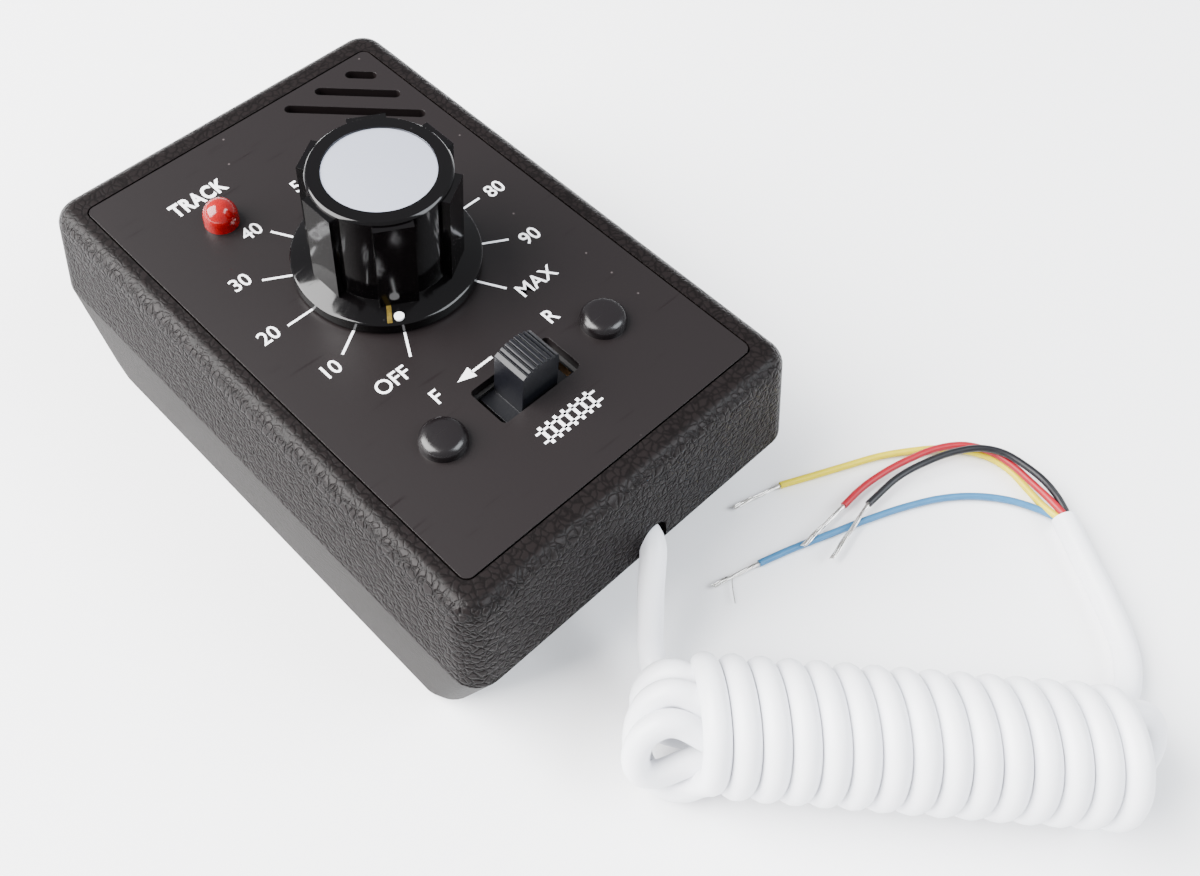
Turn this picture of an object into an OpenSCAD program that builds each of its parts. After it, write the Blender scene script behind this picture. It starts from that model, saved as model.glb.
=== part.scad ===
// Hand-held speed controller for a model railway: a two-part plastic case with a
// flush control panel, a rotary speed knob, a centre-off direction slide switch,
// a track lamp and a hard-wired four-core cable wound into a hank.
// Z is up, the case stands on z = 0 and x = y = 0 is the middle of the case.
// The operator faces the panel from -Y.

/* [Case] */
// Width of the case at the parting line
case_w = 60.4; // [60:0.2:64]
// Length of the case at the parting line
case_l = 93; // [92:0.5:96]
// Width of the case at its top
top_w = 58.9; // [58:0.1:60]
// Length of the case at its top
top_l = 89.4; // [88:0.1:92]
// Width of the case at its base
base_w = 58.5; // [57:0.1:60]
// Length of the case at its base, which is shorter because the ends lean in
base_l = 78; // [76:0.5:84]
// Height of the closed case
case_h = 33; // [32:0.5:36]
// Height of the parting line above the base
parting_z = 17; // [16:0.5:18]
// Radius of the upright corners
corner_r = 4; // [3.5:0.5:5]
// Radius along the upper edge of the case
edge_r = 2.6; // [2:0.2:3]
// Wall thickness
wall = 2.2; // [2:0.1:2.4]

/* [Panel] */
// Width of the control panel
panel_w = 51; // [50:0.5:52]
// Length of the control panel
panel_l = 80; // [79:0.5:81]
// Thickness of the control panel
panel_t = 1.6; // [1.4:0.1:2]
// Distance from the panel's middle to the dial's middle
dial_y = 4.4; // [4:0.1:5]
// Width of a vent slot
vent_w = 1.6; // [1.2:0.1:2]

/* [Knob] */
// Diameter of the knob's skirt
skirt_d = 26.4; // [25:0.1:27]
// Diameter of the knob's grip between its lugs
grip_d = 19.3; // [18.6:0.1:19.8]
// Diameter over a pair of grip lugs
lug_d = 20.8; // [20:0.1:22]
// Width of a grip lug
lug_w = 5.3; // [5:0.1:6]
// Number of grip lugs
lug_count = 6; // [6:1:8]
// Height of the knob's top above the panel
knob_h = 17.6; // [17:0.1:19]
// Diameter of the silver disc in the knob's top
disc_d = 15.2; // [14:0.1:16]
// Diameter of the control shaft
shaft_d = 6; // [6:0.01:6.04]

/* [Switch] */
// Distance from the panel's middle to the switch's middle
switch_y = -23.4; // [-24:0.1:-23]
// Distance between the two rivets that hold the switch
rivet_pitch = 28.6; // [28:0.1:29]
// Diameter of a rivet's domed head
rivet_d = 6.5; // [6:0.1:6.6]
// Length of the switch's finger piece along its travel
finger_w = 6.3; // [6:0.1:6.4]
// How far the switch travels each way from its middle position
switch_travel = 3; // [2.8:0.1:3.1]

/* [Lamp] */
// Diameter of the lamp
lamp_d = 5; // [4.9:0.1:5]
// How far the lamp stands out of the panel
lamp_out = 3.8; // [3.5:0.1:6]

/* [Cable] */
// Outer diameter of the cable
cable_d = 3.7; // [3.6:0.1:3.8]
// Diameter of one insulated core
core_d = 1.1; // [1:0.1:1.1]
// Number of wraps round the hank
wraps = 15; // [12:1:16]

/* [Hidden] */
$fn = 48;
eps = 0.01;

// Case and panel levels
panel_z = case_h - panel_t;
ledge_z = panel_z - 1.6;
ledge_w = 2.2;
panel_gap = 0.25;
panel_r = 1.2;
floor_t = 2;

// Case fixings
screw_x = 24.8;
screw_y = 31;
boss_r = 3.1;
screw_r = 1.5;
screw_head_r = 2.8;
screw_seat_z = 2.6;
screw_top_z = 23.5;

// Cable way through the near wall
cable_r = cable_d / 2;
cable_x = 2.1;
cable_z = 18.9;
cable_way_r = 2.3;

// Knob levels
knob_z = case_h + 0.4;
knob_top = case_h + knob_h;
rim_z = case_h + 2.1;
skirt_top_z = case_h + 3;
lug_top_z = knob_top - 0.5;
disc_t = 1.2;
disc_sink = 0.2;
disc_z = knob_top - disc_sink - disc_t;
collet_r = 4.5;
collet_z = case_h + 6;
pointer_angle = 238;
pointer_at = 12.1;
pointer_r = 0.68;

// Speed control below the knob
shaft_r = shaft_d / 2;
shaft_gap = 0.05;
bushing_r = 3.5;
bushing_top = case_h + 5;
washer_t = 0.5;
nut_t = 2;
nut_r = 5.6;
can_r = 8.25;
can_h = 8.5;

// Direction switch
slot_w = 13.8;
slot_l = 6.7;
slot_r = 0.7;
frame_t = 0.5;
frame_l = 35.5;
frame_w = 11;
window_w = finger_w + 2 * switch_travel + 0.4;
window_l = 5.7;
finger_l = 5.4;
finger_edge_z = case_h + 5.1;
finger_arch = 1.1;
arch_r = (pow(finger_w / 2, 2) + pow(finger_arch, 2)) / (2 * finger_arch);
rib_count = 8;
housing_w = 20;
housing_h = 6.5;
rivet_shank_r = 1.6;

// Lamp
lamp_r = lamp_d / 2;
lamp_x = -12.5;
lamp_y = 25.5;
lamp_z = 28.5;

// Circuit board
board_z = 8;
board_t = 1.6;
board_top = board_z + board_t;
board_w = 42;
board_l = 58;
post_x = 17;
post_y = 25;

// Hank: its axis runs away from the case, from the end where the lead goes in
hank_at = [-9.1, -66, 9.9];
hank_turn = -47.8;
hank_r = 9.4;
hank_l = wraps * 3.65;
loops_l = 12;
loops_r = 8.2;
far_loop_l = 5.9;
far_loop_r = 4.5;

// Routes of the free stretches, from the case outwards
lead_route = [
    [2.1, -40, 18.9], [2.1, -43, 18.9], [1.9, -45.6, 18.9], [1.3, -47, 18.8], [0.3, -47.9, 18.3],
    [-0.8, -48.8, 17.2], [-1.9, -49.9, 15.3], [-2.9, -51.1, 12.8], [-4, -52.4, 10.2],
    [-5, -53.6, 8], [-6.4, -55.8, 6.6], [-8.1, -59, 6.2],
];
tail_route = [
    [33.9, -101.5, 6.2], [35.7, -101.7, 3.4], [38.3, -101.8, 2.1], [41.2, -101, 1.9], [44, -99.2, 1.9],
    [46.5, -96.7, 1.9], [48.8, -93.5, 1.9], [51, -90.2, 1.9], [53.1, -86.7, 1.9], [55.3, -83.2, 1.9],
    [57.4, -79.9, 1.9],
];
yellow_route = [
    [56.8, -80, 1.9], [57.4, -76.5, 1.2], [58.6, -73, 0.6], [59.4, -69.5, 0.6], [59.1, -66, 0.6],
    [57.4, -62.6, 0.6], [54.5, -59.4, 0.6], [51, -56.8, 0.6], [46.8, -54.2, 0.6], [41.4, -51.7, 0.6],
    [36.3, -49.4, 0.6], [31.5, -47.2, 0.6],
];
red_route = [
    [57.4, -80.2, 2.4], [58.2, -76.5, 2.4], [59, -73, 2], [59.5, -69.3, 1.9], [59.2, -65.6, 1.8],
    [57.3, -62.2, 1.8], [53.8, -59.7, 1.8], [49.5, -58, 1.6], [44.5, -56.7, 1.4], [39.8, -56.1, 1.3],
    [35.3, -56.2, 1.4],
];
black_route = [
    [58, -80.3, 1.9], [59.2, -77.4, 2.6], [59.7, -74.5, 3.2], [59.9, -71, 3.2], [59.5, -67.4, 3.1],
    [57.8, -64.5, 3], [54.5, -62.1, 2.8], [49.9, -60.1, 2.4], [44.9, -58.8, 2], [38, -58.6, 1.7],
];
blue_route = [
    [57.4, -80.2, 1.2], [56.6, -76.3, 0.8], [54.8, -72.3, 0.6], [51.7, -68.5, 0.6], [47.7, -65.3, 0.6],
    [42.3, -62.4, 0.6], [36.1, -59.8, 0.6], [29.6, -57.4, 0.6], [24.1, -55.4, 0.6], [19, -53.8, 0.6],
];
yellow_tip = [23.2, -44.9, 0.6];
red_tip = [25.2, -56.5, 1.6];
black_tip = [26.5, -60.8, 1.8];
blue_tip = [11.2, -51.6, 0.6];
strand_r = 0.3;

function unit(v) = v / norm(v);

// Direction of a route at its point i
function heading(route, i) =
    unit(route[min(i + 1, len(route) - 1)] - route[max(i - 1, 0)]);

// Ring of points round a route's point i
function ring(route, i, r, sides) =
    let (
        along = heading(route, i),
        side = unit(cross(along, [0, 0, 1])),
        up = cross(side, along)
    )
    [for (k = [0 : sides - 1])
        let (a = 360 * (k + 0.5) / sides)
        route[i] + r * (cos(a) * side + sin(a) * up)];

// Solid tube that follows a route
module tube(route, r, sides) {
    last = len(route) - 1;
    points = [for (i = [0 : last]) each ring(route, i, r, sides)];
    walls = [for (i = [0 : last - 1], k = [0 : sides - 1])
        [
            i * sides + k,
            i * sides + (k + 1) % sides,
            (i + 1) * sides + (k + 1) % sides,
            (i + 1) * sides + k
        ]];
    near_end = [for (k = [0 : sides - 1]) sides - 1 - k];
    far_end = [for (k = [0 : sides - 1]) last * sides + k];
    polyhedron(points, concat(walls, [near_end, far_end]), convexity = 6);
}

// Round bar from point a to point b
module bar(a, b, r) {
    v = b - a;
    translate(a)
        rotate([0, acos(v.z / norm(v)), atan2(v.y, v.x)])
            cylinder(h = norm(v), r = r, $fn = 16);
}

// Rectangle with round corners, centred on the origin
module round_rect(w, l, r) {
    square([w - 2 * r, l], center = true);
    square([w, l - 2 * r], center = true);
    for (x = [-1, 1], y = [-1, 1])
        translate([x * (w / 2 - r), y * (l / 2 - r)])
            circle(r = r);
}

// Round-ended slot between two points
module slot_2d(a, b, w) {
    v = b - a;
    translate((a + b) / 2)
        rotate(atan2(v.y, v.x))
            square([norm(v), w], center = true);
    for (p = [a, b])
        translate(p)
            circle(d = w, $fn = 24);
}

// Thin slice of a case outline at height z
module slice(z, w, l, r) {
    translate([0, 0, z])
        linear_extrude(eps)
            round_rect(w, l, r, $fn = 32);
}

// Outside of the upper half, rounded along its top edge
module top_outside() {
    hull() {
        slice(parting_z, case_w, case_l, corner_r);
        for (a = [0 : 15 : 90])
            slice(
                case_h - edge_r + edge_r * sin(a) - eps,
                top_w - 2 * edge_r * (1 - cos(a)),
                top_l - 2 * edge_r * (1 - cos(a)),
                corner_r - edge_r * (1 - cos(a))
            );
    }
}

// Space inside the upper half
module top_inside() {
    hull() {
        slice(parting_z - 0.1, case_w - 2 * wall, case_l - 2 * wall, corner_r - wall);
        slice(ledge_z - eps, top_w - 2 * wall, top_l - 2 * wall, corner_r - wall);
    }
}

// Space inside the lower half, with raked ends
module bottom_inside() {
    hull() {
        slice(parting_z + 0.1, case_w - 2 * wall, case_l - 2 * wall, corner_r - wall);
        slice(floor_t, base_w - 2 * wall, base_l - 1.6, corner_r - wall);
    }
}

module at_screws() {
    for (x = [-1, 1], y = [-1, 1])
        translate([x * screw_x, y * screw_y, 0])
            children();
}

// Notch for the cable in the near wall, open at the parting line
module cable_way() {
    translate([cable_x, -case_l / 2 - 1, cable_z])
        rotate([-90, 0, 0])
            cylinder(h = wall + 3, r = cable_way_r);
    translate([cable_x - cable_way_r, -case_l / 2 - 1, parting_z - 1])
        cube([2 * cable_way_r, wall + 3, cable_z - parting_z + 1]);
}

module bottom_shell() {
    color([0.07, 0.06, 0.06])
    difference() {
        union() {
            difference() {
                hull() {
                    slice(parting_z - eps, case_w, case_l, corner_r);
                    slice(3, base_w + 0.2, base_l + 4, corner_r - 0.4);
                    slice(0.8, base_w, base_l, corner_r - 0.7);
                    slice(0, base_w - 0.8, base_l - 2.4, corner_r - 1.2);
                }
                bottom_inside();
            }
            at_screws()
                translate([0, 0, floor_t - 0.5])
                    cylinder(h = parting_z - floor_t + 0.5, r = boss_r);
            for (x = [-1, 1], y = [-1, 1])
                translate([x * post_x, y * post_y, floor_t - 0.5])
                    cylinder(h = board_z - floor_t + 0.5, r = 2.5);
        }
        at_screws() {
            translate([0, 0, -1])
                cylinder(h = parting_z + 2, r = screw_r + 0.2);
            translate([0, 0, -1])
                cylinder(h = screw_seat_z + 1, r = screw_head_r + 0.3);
        }
        for (s = [-1, 1])
            translate([-s * post_x, s * post_y, floor_t + 1])
                cylinder(h = board_z, r = 1);
    }
}

module top_shell() {
    color([0.1, 0.09, 0.09])
    difference() {
        union() {
            difference() {
                top_outside();
                top_inside();
            }
            at_screws()
                translate([0, 0, parting_z])
                    cylinder(h = ledge_z - parting_z + 0.5, r = boss_r);
        }
        translate([0, 0, panel_z])
            linear_extrude(panel_t + 1)
                round_rect(panel_w + 2 * panel_gap, panel_l + 2 * panel_gap, panel_r + panel_gap);
        translate([0, 0, ledge_z - 1])
            linear_extrude(panel_t + 3)
                round_rect(panel_w - 2 * ledge_w, panel_l - 2 * ledge_w, 1);
        at_screws()
            translate([0, 0, parting_z - 1])
                cylinder(h = screw_top_z - parting_z + 2, r = screw_r);
        cable_way();
    }
}

module control_panel() {
    color([0.16, 0.13, 0.13])
    translate([0, 0, panel_z])
        linear_extrude(panel_t)
            difference() {
                round_rect(panel_w, panel_l, panel_r);
                translate([0, dial_y])
                    circle(r = bushing_r);
                translate([lamp_x, lamp_y])
                    circle(r = lamp_r);
                translate([0, switch_y])
                    round_rect(slot_w, slot_l, slot_r, $fn = 24);
                for (s = [-1, 1])
                    translate([s * rivet_pitch / 2, switch_y])
                        circle(r = rivet_shank_r);
                slot_2d([8.6, 37.2], [22.5, 23.3], vent_w);
                slot_2d([14.4, 37.2], [22.5, 29.1], vent_w);
                slot_2d([20.2, 37], [22.5, 34.7], vent_w);
            }
}

module case_screw(x, y) {
    color("silver")
    translate([x * screw_x, y * screw_y, 0])
        difference() {
            union() {
                translate([0, 0, screw_seat_z - 2])
                    cylinder(h = 2, r = screw_head_r);
                translate([0, 0, screw_seat_z - 1])
                    cylinder(h = screw_top_z - screw_seat_z + 1, r = screw_r);
            }
            for (a = [0, 90])
                rotate(a)
                    translate([0, 0, screw_seat_z - 2])
                        cube([0.7, 3.4, 2], center = true);
        }
}

module knob_body() {
    color([0.03, 0.03, 0.03])
    translate([0, dial_y, 0])
        difference() {
            union() {
                rotate_extrude($fn = 96)
                    polygon([
                        [0, knob_z], [skirt_d / 2, knob_z], [skirt_d / 2, rim_z - 0.3],
                        [skirt_d / 2 - 0.3, rim_z], [grip_d / 2, skirt_top_z],
                        [grip_d / 2, knob_top - 0.3], [grip_d / 2 - 0.3, knob_top], [0, knob_top]
                    ]);
                for (k = [0 : lug_count - 1])
                    rotate(k * 360 / lug_count)
                        translate([0, -lug_w / 2, rim_z + 0.2])
                            cube([lug_d / 2, lug_w, lug_top_z - rim_z - 0.2]);
            }
            translate([0, 0, knob_z - 1])
                cylinder(h = case_h + 3.4 - knob_z + 1, r = 7);
            translate([0, 0, knob_z])
                cylinder(h = knob_top - knob_z - 1, r = collet_r);
            translate([0, 0, disc_z - 3])
                cylinder(h = 4, r = 6.4);
            translate([0, 0, disc_z])
                cylinder(h = knob_top - disc_z + 1, r = disc_d / 2);
            rotate(pointer_angle)
                translate([pointer_at, 0, rim_z - 0.6])
                    cylinder(h = 3, r = pointer_r);
        }
}

module knob_disc() {
    color([0.8, 0.8, 0.84])
    translate([0, dial_y, disc_z])
        cylinder(h = disc_t, r = disc_d / 2, $fn = 96);
}

module knob_pointer() {
    color("white")
    translate([0, dial_y, 0])
        rotate(pointer_angle)
            translate([pointer_at, 0, rim_z - 0.6])
                cylinder(h = 0.95, r = pointer_r, $fn = 32);
}

module knob_collet() {
    color("goldenrod")
    translate([0, dial_y, collet_z])
        difference() {
            cylinder(h = disc_z - 3 - collet_z, r = collet_r);
            translate([0, 0, -1])
                cylinder(h = knob_h, r = shaft_r);
        }
}

module knob_collet_nut() {
    color("goldenrod")
    translate([0, dial_y, disc_z - 3])
        difference() {
            cylinder(h = 2.4, r = 5.6, $fn = 6);
            translate([0, 0, -1])
                cylinder(h = 4, r = shaft_r + 0.2);
        }
}

module control_shaft() {
    color("silver")
    translate([0, dial_y, panel_z + 0.1])
        cylinder(h = disc_z - 1 - panel_z, r = shaft_r);
}

module control_bushing() {
    color("silver")
    translate([0, dial_y, panel_z])
        difference() {
            cylinder(h = bushing_top - panel_z, r = bushing_r);
            translate([0, 0, -1])
                cylinder(h = bushing_top, r = shaft_r + shaft_gap);
        }
}

module control_washer() {
    color("silver")
    translate([0, dial_y, case_h])
        difference() {
            cylinder(h = washer_t, r = 6);
            translate([0, 0, -1])
                cylinder(h = 3, r = bushing_r);
        }
}

module control_nut() {
    color("silver")
    translate([0, dial_y, case_h + washer_t])
        difference() {
            cylinder(h = nut_t, r = nut_r, $fn = 6);
            translate([0, 0, -1])
                cylinder(h = nut_t + 2, r = bushing_r);
        }
}

module control_can() {
    color([0.7, 0.7, 0.68])
    translate([0, dial_y, panel_z - can_h])
        cylinder(h = can_h, r = can_r);
}

module control_tags() {
    color([0.55, 0.4, 0.2])
    translate([0, dial_y + can_r - 0.2, panel_z - 4]) {
        translate([-6, 0.2, 0])
            cube([12, 3.8, 1.2]);
        for (x = [-5, 0, 5])
            translate([x - 0.7, 3.5, 0.4])
                cube([1.4, 4.5, 0.4]);
    }
}

module switch_frame() {
    color("gainsboro")
    translate([0, switch_y, panel_z - frame_t])
        difference() {
            union() {
                linear_extrude(frame_t)
                    round_rect(frame_l, frame_w, 1.5, $fn = 24);
                translate([-housing_w / 2, -frame_w / 2, -housing_h])
                    cube([housing_w, frame_w, housing_h + 0.1]);
            }
            translate([-housing_w / 2 + 0.6, -frame_w / 2 + 0.6, -housing_h - 1])
                cube([housing_w - 1.2, frame_w - 1.2, housing_h + 1]);
            translate([-window_w / 2, -window_l / 2, -1])
                cube([window_w, window_l, 3]);
            for (s = [-1, 1])
                translate([s * rivet_pitch / 2, 0, -1])
                    cylinder(h = 3, r = rivet_shank_r);
        }
}

module switch_base() {
    color([0.45, 0.3, 0.15])
    translate([0, switch_y, panel_z - frame_t - housing_h + 0.6])
        cube([housing_w - 1.2, frame_w - 1.2, 1.2], center = true);
}

module switch_tags() {
    color("silver")
    for (x = [-6, 0, 6], y = [-2.5, 2.5])
        translate([x - 0.8, switch_y + y - 0.25, panel_z - frame_t - housing_h - 4.5])
            cube([1.6, 0.5, 4.5]);
}

module switch_slider() {
    color([0.12, 0.13, 0.16])
    translate([0, switch_y, 0])
        difference() {
            union() {
                translate([-5.5, -4.3, panel_z - frame_t - 3.6])
                    cube([11, 8.6, 3.5]);
                translate([-finger_w / 2, -finger_l / 2, panel_z - frame_t - 0.2])
                    cube([finger_w, finger_l, finger_edge_z - panel_z + frame_t + 0.2]);
                intersection() {
                    translate([0, finger_l / 2, finger_edge_z + finger_arch - arch_r])
                        rotate([90, 0, 0])
                            cylinder(h = finger_l, r = arch_r, $fn = 96);
                    translate([-finger_w / 2, -finger_l / 2, finger_edge_z - 1])
                        cube([finger_w, finger_l, 3]);
                }
            }
            for (k = [1 : rib_count - 1])
                let (
                    x = (k / rib_count - 0.5) * finger_w,
                    z = finger_edge_z + finger_arch * (1 - pow(2 * x / finger_w, 2))
                )
                translate([x - 0.15, -finger_l, z - 0.35])
                    cube([0.3, 2 * finger_l, 2]);
        }
}

module switch_rivet(side) {
    head_h = 1.9;
    shoulder = 1.3;
    color([0.06, 0.06, 0.06])
    translate([side * rivet_pitch / 2, switch_y, 0]) {
        translate([0, 0, case_h])
            rotate_extrude($fn = 64)
                polygon([
                    [0, 0], [rivet_d / 2, 0],
                    for (a = [0 : 15 : 90])
                        [rivet_d / 2 - shoulder * (1 - cos(a)), 0.4 + (head_h - 0.55) * sin(a)],
                    [0, head_h]
                ]);
        translate([0, 0, panel_z - frame_t - 0.1])
            cylinder(h = panel_t + frame_t + 0.2, r = rivet_shank_r);
        translate([0, 0, panel_z - frame_t - 1.6])
            cylinder(h = 1.6, r = 2.1);
    }
}

module lamp_lens() {
    color([0.8, 0.05, 0.08])
    translate([lamp_x, lamp_y, 0]) {
        translate([0, 0, lamp_z])
            cylinder(h = 1, r = lamp_r + 0.4);
        translate([0, 0, lamp_z])
            cylinder(h = case_h + lamp_out - lamp_r - lamp_z, r = lamp_r);
        translate([0, 0, case_h + lamp_out - lamp_r])
            sphere(r = lamp_r);
    }
}

module lamp_lead(side) {
    color("silver")
    translate([lamp_x + side * 1.27 - 0.25, lamp_y - 0.25, board_top])
        cube([0.5, 0.5, lamp_z - board_top]);
}

module circuit_board() {
    color([0.3, 0.35, 0.15])
    difference() {
        translate([-board_w / 2, -board_l / 2, board_z])
            cube([board_w, board_l, board_t]);
        for (s = [-1, 1])
            translate([-s * post_x, s * post_y, board_z - 1])
                cylinder(h = board_t + 2, r = 1.1);
    }
}

module board_screw(s) {
    color("silver")
    translate([-s * post_x, s * post_y, 0]) {
        translate([0, 0, board_top])
            cylinder(h = 1.4, r = 2);
        translate([0, 0, board_z - 4.5])
            cylinder(h = board_t + 4.6, r = 1);
    }
}

module heat_sink() {
    color("lightgray")
    translate([0, 24.5, board_top]) {
        cube([20, 1.5, 16]);
        cube([20, 3.5, 1.5]);
    }
}

module power_transistor() {
    color([0.1, 0.1, 0.1])
    translate([5, 20, board_top]) {
        translate([0, 0, 2.5])
            cube([10, 4.5, 13]);
        for (x = [2.2, 4.7, 7.2])
            translate([x, 2, 0])
                cube([0.7, 0.5, 2.6]);
    }
}

module smoothing_capacitor() {
    color([0.1, 0.15, 0.4])
    translate([-14, 9, board_top])
        cylinder(h = 15, r = 5);
}

module bridge_rectifier() {
    color([0.1, 0.1, 0.1])
    translate([2, -16, board_top])
        cube([15, 4.5, 7]);
}

module resistor(y) {
    color("tan")
    translate([-16, y, board_top + 1.2])
        rotate([0, 90, 0])
            cylinder(h = 6.5, r = 1.2);
}

module cable_tie() {
    color("ivory")
    translate([cable_x, -case_l / 2 + wall + 1.2, cable_z])
        difference() {
            union() {
                rotate([-90, 0, 0])
                    cylinder(h = 2.4, r = cable_r + 1.1);
                translate([-2, 0, 2])
                    cube([4, 2.4, 2.6]);
            }
            translate([0, -1, 0])
                rotate([-90, 0, 0])
                    cylinder(h = 5, r = cable_r);
        }
}

module cable_lead() {
    color("white") tube(lead_route, cable_r, 12);
}

module cable_tail() {
    color("white") tube(tail_route, cable_r, 12);
}

// Outer shape of the wound cable: wrapped middle, loop ends at the left, one loop at the right
module cable_hank() {
    color("white")
    translate(hank_at)
        rotate([0, 90, hank_turn]) {
            cylinder(h = hank_l, r = hank_r, $fn = 96);
            translate([0, 0, -loops_l])
                cylinder(h = loops_l + 1, r = loops_r);
            translate([0, 4, hank_l - 1])
                cylinder(h = far_loop_l + 1, r = far_loop_r);
        }
}

module core(route) {
    tube(route, core_d / 2, 8);
}

module strands(route, tip) {
    color("silver") bar(route[len(route) - 1], tip, strand_r);
}

bottom_shell();
top_shell();
control_panel();
case_screw(-1, -1);  // case_screw_1
case_screw(1, -1);  // case_screw_2
case_screw(1, 1);  // case_screw_3
case_screw(-1, 1);  // case_screw_4
knob_body();
knob_disc();
knob_pointer();
knob_collet();
knob_collet_nut();
control_shaft();
control_bushing();
control_washer();
control_nut();
control_can();
control_tags();
switch_frame();
switch_base();
switch_tags();
switch_slider();
switch_rivet(-1);  // switch_rivet_left
switch_rivet(1);  // switch_rivet_right
lamp_lens();
lamp_lead(-1);  // lamp_lead_1
lamp_lead(1);  // lamp_lead_2
circuit_board();
board_screw(-1);  // board_screw_1
board_screw(1);  // board_screw_2
heat_sink();
power_transistor();
smoothing_capacitor();
bridge_rectifier();
resistor(-8);  // resistor_1
resistor(-13);  // resistor_2
cable_tie();
cable_lead();
cable_hank();
cable_tail();
color("yellow") core(yellow_route);  // core_yellow
color("red") core(red_route);  // core_red
color("black") core(black_route);  // core_black
color("steelblue") core(blue_route);  // core_blue
strands(yellow_route, yellow_tip);  // strands_yellow
strands(red_route, red_tip);  // strands_red
strands(black_route, black_tip);  // strands_black
strands(blue_route, blue_tip);  // strands_blue
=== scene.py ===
import math

import bmesh
import bpy
from mathutils import Matrix, Vector


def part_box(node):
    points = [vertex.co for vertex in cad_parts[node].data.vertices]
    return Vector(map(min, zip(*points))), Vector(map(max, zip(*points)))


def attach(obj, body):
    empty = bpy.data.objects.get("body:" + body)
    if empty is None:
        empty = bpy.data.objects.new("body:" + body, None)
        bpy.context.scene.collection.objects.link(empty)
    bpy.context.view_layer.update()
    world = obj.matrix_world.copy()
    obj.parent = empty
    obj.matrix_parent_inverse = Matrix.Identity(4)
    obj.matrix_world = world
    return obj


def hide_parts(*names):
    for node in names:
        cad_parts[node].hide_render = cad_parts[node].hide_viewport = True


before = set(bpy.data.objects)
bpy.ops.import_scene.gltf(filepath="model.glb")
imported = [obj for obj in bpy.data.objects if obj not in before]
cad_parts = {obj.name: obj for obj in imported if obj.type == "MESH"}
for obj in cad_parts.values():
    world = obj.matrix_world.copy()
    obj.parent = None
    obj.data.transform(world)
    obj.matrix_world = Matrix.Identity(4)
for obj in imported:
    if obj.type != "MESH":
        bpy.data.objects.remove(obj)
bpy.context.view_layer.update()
MM = 0.001

# ---- Camera ----
# The controller is seen from the operator's left, above its near corner.
camera_data = bpy.data.cameras.new("camera")
camera_data.lens = 41.04
camera_data.sensor_width = 36
camera_data.shift_x = 0.0712
camera_data.shift_y = -0.0347
camera_data.clip_start = 0.005
camera = bpy.data.objects.new("camera", camera_data)
camera.location = (-0.0748, -0.0971, 0.1761)
camera.rotation_euler = [math.radians(a) for a in (35.52, -0.95, -43.33)]
bpy.context.collection.objects.link(camera)
bpy.context.scene.camera = camera


# ---- Cable ----
# A round four-core cable with a soft white vinyl jacket. It leaves the near wall, lies
# back and forth three times, is wrapped round itself from left to right, and ends in a
# short tail on the table.
def shader(name, color, roughness, **more):
    """A new material whose Principled shader has these plain values."""
    made = bpy.data.materials.new(name)
    made.use_nodes = True
    made.diffuse_color = (*color, 1)
    principled = made.node_tree.nodes["Principled BSDF"]
    principled.inputs["Base Color"].default_value = (*color, 1)
    principled.inputs["Roughness"].default_value = roughness
    for socket, value in more.items():
        principled.inputs[socket.replace("_", " ")].default_value = value
    return made


def add_node(made, kind, links=(), **values):
    """A node of that kind in a material or group, with its socket values and incoming links."""
    tree = made.node_tree if hasattr(made, "node_tree") else made
    new = tree.nodes.new(kind)
    for name, value in values.items():
        if hasattr(new, name) and name not in new.inputs:
            setattr(new, name, value)
        else:
            new.inputs[name.replace("_", " ")].default_value = value
    for socket, source in links:
        tree.links.new(source, new.inputs[socket])
    return new


def feed(made, socket, source):
    """Links a source socket into the material's Principled shader."""
    principled = made.node_tree.nodes["Principled BSDF"]
    made.node_tree.links.new(source, principled.inputs[socket])


def noise(made, scale, detail):
    """A noise on the piece's own coordinates."""
    coords = add_node(made, "ShaderNodeTexCoord")
    cloud = add_node(
        made, "ShaderNodeTexNoise", [("Vector", coords.outputs["Object"])], Scale=scale, Detail=detail
    )
    return cloud.outputs["Fac"]


def mottled(made, mask, low, high):
    """Lets a mask mix two base colours."""
    tint = add_node(made, "ShaderNodeMix", [("Factor", mask)], data_type="RGBA")
    tint.inputs["A"].default_value = (*low, 1)
    tint.inputs["B"].default_value = (*high, 1)
    feed(made, "Base Color", tint.outputs["Result"])


def bumped(made, height, strength, depth):
    """Raises a pattern on the surface."""
    bump = add_node(made, "ShaderNodeBump", [("Height", height)], Strength=strength, Distance=depth)
    feed(made, "Normal", bump.outputs["Normal"])
    return bump


def smooth_route(points, step):
    """Points about a step apart on a smooth curve through the given ones."""
    points = [Vector(p) for p in points]
    padded = [2 * points[0] - points[1], *points, 2 * points[-1] - points[-2]]
    out = []
    for a, b, c, d in zip(padded, padded[1:], padded[2:], padded[3:]):
        knots = [0]
        for p, q in ((a, b), (b, c), (c, d)):
            knots.append(knots[-1] + max((q - p).length, 1e-6) ** 0.5)
        t0, t1, t2, t3 = knots
        count = max(1, round((c - b).length / step))
        for k in range(count):
            t = t1 + (t2 - t1) * k / count
            ab = a.lerp(b, (t - t0) / (t1 - t0))
            bc = b.lerp(c, (t - t1) / (t2 - t1))
            cd = c.lerp(d, (t - t2) / (t3 - t2))
            abc = ab.lerp(bc, (t - t0) / (t2 - t0))
            bcd = bc.lerp(cd, (t - t1) / (t3 - t1))
            out.append(abc.lerp(bcd, (t - t1) / (t2 - t1)))
    return [*out, points[-1]]


def eased(points, passes):
    """The same route with its sharpest turns rounded off."""
    for _ in range(passes):
        middle = [(a + 2 * b + c) / 4 for a, b, c in zip(points, points[1:], points[2:])]
        points = [points[0], *middle, points[-1]]
    return points


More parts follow.
